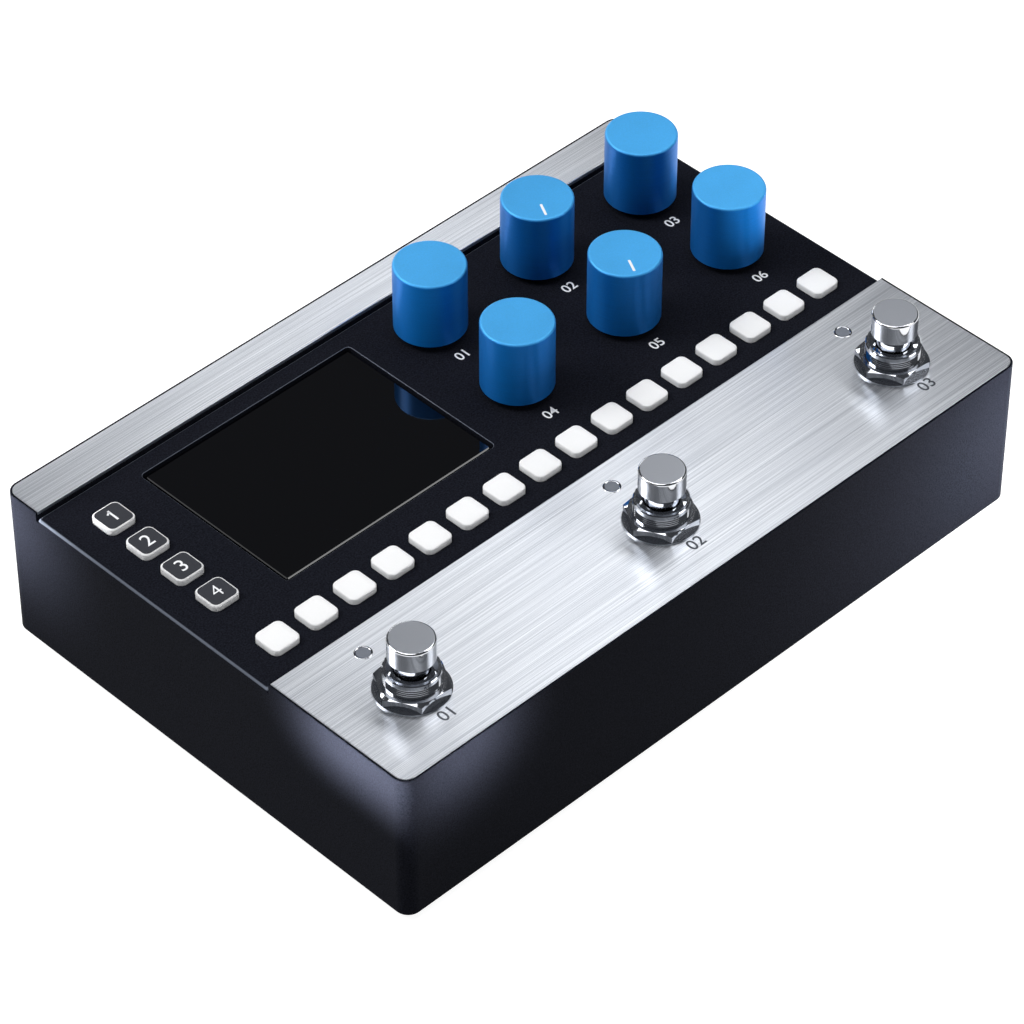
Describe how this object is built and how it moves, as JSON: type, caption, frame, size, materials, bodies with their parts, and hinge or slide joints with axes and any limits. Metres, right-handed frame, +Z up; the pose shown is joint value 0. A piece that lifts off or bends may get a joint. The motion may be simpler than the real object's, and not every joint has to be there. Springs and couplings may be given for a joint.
{
  "type": "drum machine pedal",
  "caption": "Flat black drum machine with brushed steel plates, chromed footswitches, blue knobs, a row of step keys, numbered keys and a screen, for floor or desk.",
  "frame": {"origin": "on the floor under the feet, at the middle of the whole object's plan", "axes": "+X to the right along the row of step keys, +Y to the rear sockets, +Z up"},
  "size_m": [0.18, 0.124, 0.0563],
  "materials": {
    "black_case": "satin powder coat on die-cast aluminium",
    "brushed_plate": "brushed along the width",
    "chrome": "polished plating",
    "zinc": "plain plated metal",
    "dark_nut": "black plated",
    "rubber": "matte",
    "screen": "gloss",
    "dark_plastic": "moulded",
    "circuit_board": "coated laminate",
    "lens": "smoked clear",
    "white_key": "moulded silicone",
    "blue_knob": "turned and blue anodised"
  },
  "bodies": {
    "case": {"enclosure": "black_case", "base_plate": "black_case", "base_screws": "zinc", "rubber_feet": "rubber", "front_plate": "brushed_plate", "rear_plate": "brushed_plate", "screen_glass": "screen", "display_module": "dark_plastic", "control_board": "circuit_board", "main_board": "circuit_board", "board_standoffs": "zinc", "board_screws": "zinc", "key_switches": "dark_plastic", "encoder_bodies": "zinc", "potentiometer_bodies": "zinc", "shaft_nuts": "dark_nut", "footswitch_bodies": "chrome", "footswitch_nuts": "chrome", "footswitch_washers": "chrome", "led_lenses": "lens", "audio_jacks": "dark_plastic", "audio_jack_nuts": "zinc", "midi_jacks": "dark_plastic", "usb_socket": "zinc", "power_socket": "dark_plastic"},
    "step_key_01": {"step_key_01": "white_key"},
    "step_key_02": {"step_key_02": "white_key"},
    "step_key_03": {"step_key_03": "white_key"},
    "step_key_04": {"step_key_04": "white_key"},
    "step_key_05": {"step_key_05": "white_key"},
    "step_key_06": {"step_key_06": "white_key"},
    "step_key_07": {"step_key_07": "white_key"},
    "step_key_08": {"step_key_08": "white_key"},
    "step_key_09": {"step_key_09": "white_key"},
    "step_key_10": {"step_key_10": "white_key"},
    "step_key_11": {"step_key_11": "white_key"},
    "step_key_12": {"step_key_12": "white_key"},
    "step_key_13": {"step_key_13": "white_key"},
    "step_key_14": {"step_key_14": "white_key"},
    "step_key_15": {"step_key_15": "white_key"},
    "step_key_16": {"step_key_16": "white_key"},
    "number_key_1": {"number_key_1": "white_key"},
    "number_key_2": {"number_key_2": "white_key"},
    "number_key_3": {"number_key_3": "white_key"},
    "number_key_4": {"number_key_4": "white_key"},
    "footswitch_left": {"footswitch_left": "chrome"},
    "footswitch_middle": {"footswitch_middle": "chrome"},
    "footswitch_right": {"footswitch_right": "chrome"},
    "knob_front_left": {"knob_front_left": "blue_knob", "shaft_front_left": "zinc"},
    "knob_front_middle": {"knob_front_middle": "blue_knob", "shaft_front_middle": "zinc"},
    "knob_front_right": {"knob_front_right": "blue_knob", "shaft_front_right": "zinc"},
    "knob_rear_left": {"knob_rear_left": "blue_knob", "shaft_rear_left": "zinc"},
    "knob_rear_middle": {"knob_rear_middle": "blue_knob", "shaft_rear_middle": "zinc"},
    "knob_rear_right": {"knob_rear_right": "blue_knob", "shaft_rear_right": "zinc"}
  },
  "joints": [
    {"name": "step_key_01_press", "type": "slide", "parent": "case", "child": "step_key_01", "axis": [0, 0, -1], "range_m": [0, 0.0005], "stiffness_N_per_m": 1500, "springref_m": -0.0005},
    {"name": "step_key_02_press", "type": "slide", "parent": "case", "child": "step_key_02", "axis": [0, 0, -1], "range_m": [0, 0.0005], "stiffness_N_per_m": 1500, "springref_m": -0.0005},
    {"name": "step_key_03_press", "type": "slide", "parent": "case", "child": "step_key_03", "axis": [0, 0, -1], "range_m": [0, 0.0005], "stiffness_N_per_m": 1500, "springref_m": -0.0005},
    {"name": "step_key_04_press", "type": "slide", "parent": "case", "child": "step_key_04", "axis": [0, 0, -1], "range_m": [0, 0.0005], "stiffness_N_per_m": 1500, "springref_m": -0.0005},
    {"name": "step_key_05_press", "type": "slide", "parent": "case", "child": "step_key_05", "axis": [0, 0, -1], "range_m": [0, 0.0005], "stiffness_N_per_m": 1500, "springref_m": -0.0005},
    {"name": "step_key_06_press", "type": "slide", "parent": "case", "child": "step_key_06", "axis": [0, 0, -1], "range_m": [0, 0.0005], "stiffness_N_per_m": 1500, "springref_m": -0.0005},
    {"name": "step_key_07_press", "type": "slide", "parent": "case", "child": "step_key_07", "axis": [0, 0, -1], "range_m": [0, 0.0005], "stiffness_N_per_m": 1500, "springref_m": -0.0005},
    {"name": "step_key_08_press", "type": "slide", "parent": "case", "child": "step_key_08", "axis": [0, 0, -1], "range_m": [0, 0.0005], "stiffness_N_per_m": 1500, "springref_m": -0.0005},
    {"name": "step_key_09_press", "type": "slide", "parent": "case", "child": "step_key_09", "axis": [0, 0, -1], "range_m": [0, 0.0005], "stiffness_N_per_m": 1500, "springref_m": -0.0005},
    {"name": "step_key_10_press", "type": "slide", "parent": "case", "child": "step_key_10", "axis": [0, 0, -1], "range_m": [0, 0.0005], "stiffness_N_per_m": 1500, "springref_m": -0.0005},
    {"name": "step_key_11_press", "type": "slide", "parent": "case", "child": "step_key_11", "axis": [0, 0, -1], "range_m": [0, 0.0005], "stiffness_N_per_m": 1500, "springref_m": -0.0005},
    {"name": "step_key_12_press", "type": "slide", "parent": "case", "child": "step_key_12", "axis": [0, 0, -1], "range_m": [0, 0.0005], "stiffness_N_per_m": 1500, "springref_m": -0.0005},
    {"name": "step_key_13_press", "type": "slide", "parent": "case", "child": "step_key_13", "axis": [0, 0, -1], "range_m": [0, 0.0005], "stiffness_N_per_m": 1500, "springref_m": -0.0005},
    {"name": "step_key_14_press", "type": "slide", "parent": "case", "child": "step_key_14", "axis": [0, 0, -1], "range_m": [0, 0.0005], "stiffness_N_per_m": 1500, "springref_m": -0.0005},
    {"name": "step_key_15_press", "type": "slide", "parent": "case", "child": "step_key_15", "axis": [0, 0, -1], "range_m": [0, 0.0005], "stiffness_N_per_m": 1500, "springref_m": -0.0005},
    {"name": "step_key_16_press", "type": "slide", "parent": "case", "child": "step_key_16", "axis": [0, 0, -1], "range_m": [0, 0.0005], "stiffness_N_per_m": 1500, "springref_m": -0.0005},
    {"name": "number_key_1_press", "type": "slide", "parent": "case", "child": "number_key_1", "axis": [0, 0, -1], "range_m": [0, 0.0005], "stiffness_N_per_m": 1500, "springref_m": -0.0005},
    {"name": "number_key_2_press", "type": "slide", "parent": "case", "child": "number_key_2", "axis": [0, 0, -1], "range_m": [0, 0.0005], "stiffness_N_per_m": 1500, "springref_m": -0.0005},
    {"name": "number_key_3_press", "type": "slide", "parent": "case", "child": "number_key_3", "axis": [0, 0, -1], "range_m": [0, 0.0005], "stiffness_N_per_m": 1500, "springref_m": -0.0005},
    {"name": "number_key_4_press", "type": "slide", "parent": "case", "child": "number_key_4", "axis": [0, 0, -1], "range_m": [0, 0.0005], "stiffness_N_per_m": 1500, "springref_m": -0.0005},
    {"name": "footswitch_left_press", "type": "slide", "parent": "case", "child": "footswitch_left", "axis": [0, 0, -1], "range_m": [0, 0.0014], "stiffness_N_per_m": 4000, "springref_m": -0.002},
    {"name": "footswitch_middle_press", "type": "slide", "parent": "case", "child": "footswitch_middle", "axis": [0, 0, -1], "range_m": [0, 0.0014], "stiffness_N_per_m": 4000, "springref_m": -0.002},
    {"name": "footswitch_right_press", "type": "slide", "parent": "case", "child": "footswitch_right", "axis": [0, 0, -1], "range_m": [0, 0.0014], "stiffness_N_per_m": 4000, "springref_m": -0.002},
    {"name": "knob_front_left_turn", "type": "hinge", "parent": "case", "child": "knob_front_left", "pos_m": [0.0093, 0.0079, 0.045], "axis": [0, 0, 1], "continuous": true},
    {"name": "knob_front_middle_turn", "type": "hinge", "parent": "case", "child": "knob_front_middle", "pos_m": [0.0414, 0.0079, 0.045], "axis": [0, 0, 1], "range_deg": [-300, 0]},
    {"name": "knob_front_right_turn", "type": "hinge", "parent": "case", "child": "knob_front_right", "pos_m": [0.0735, 0.0079, 0.045], "axis": [0, 0, 1], "continuous": true},
    {"name": "knob_rear_left_turn", "type": "hinge", "parent": "case", "child": "knob_rear_left", "pos_m": [0.0093, 0.0344, 0.045], "axis": [0, 0, 1], "continuous": true},
    {"name": "knob_rear_middle_turn", "type": "hinge", "parent": "case", "child": "knob_rear_middle", "pos_m": [0.0414, 0.0344, 0.045], "axis": [0, 0, 1], "range_deg": [-300, 0]},
    {"name": "knob_rear_right_turn", "type": "hinge", "parent": "case", "child": "knob_rear_right", "pos_m": [0.0735, 0.0344, 0.045], "axis": [0, 0, 1], "continuous": true}
  ]
}
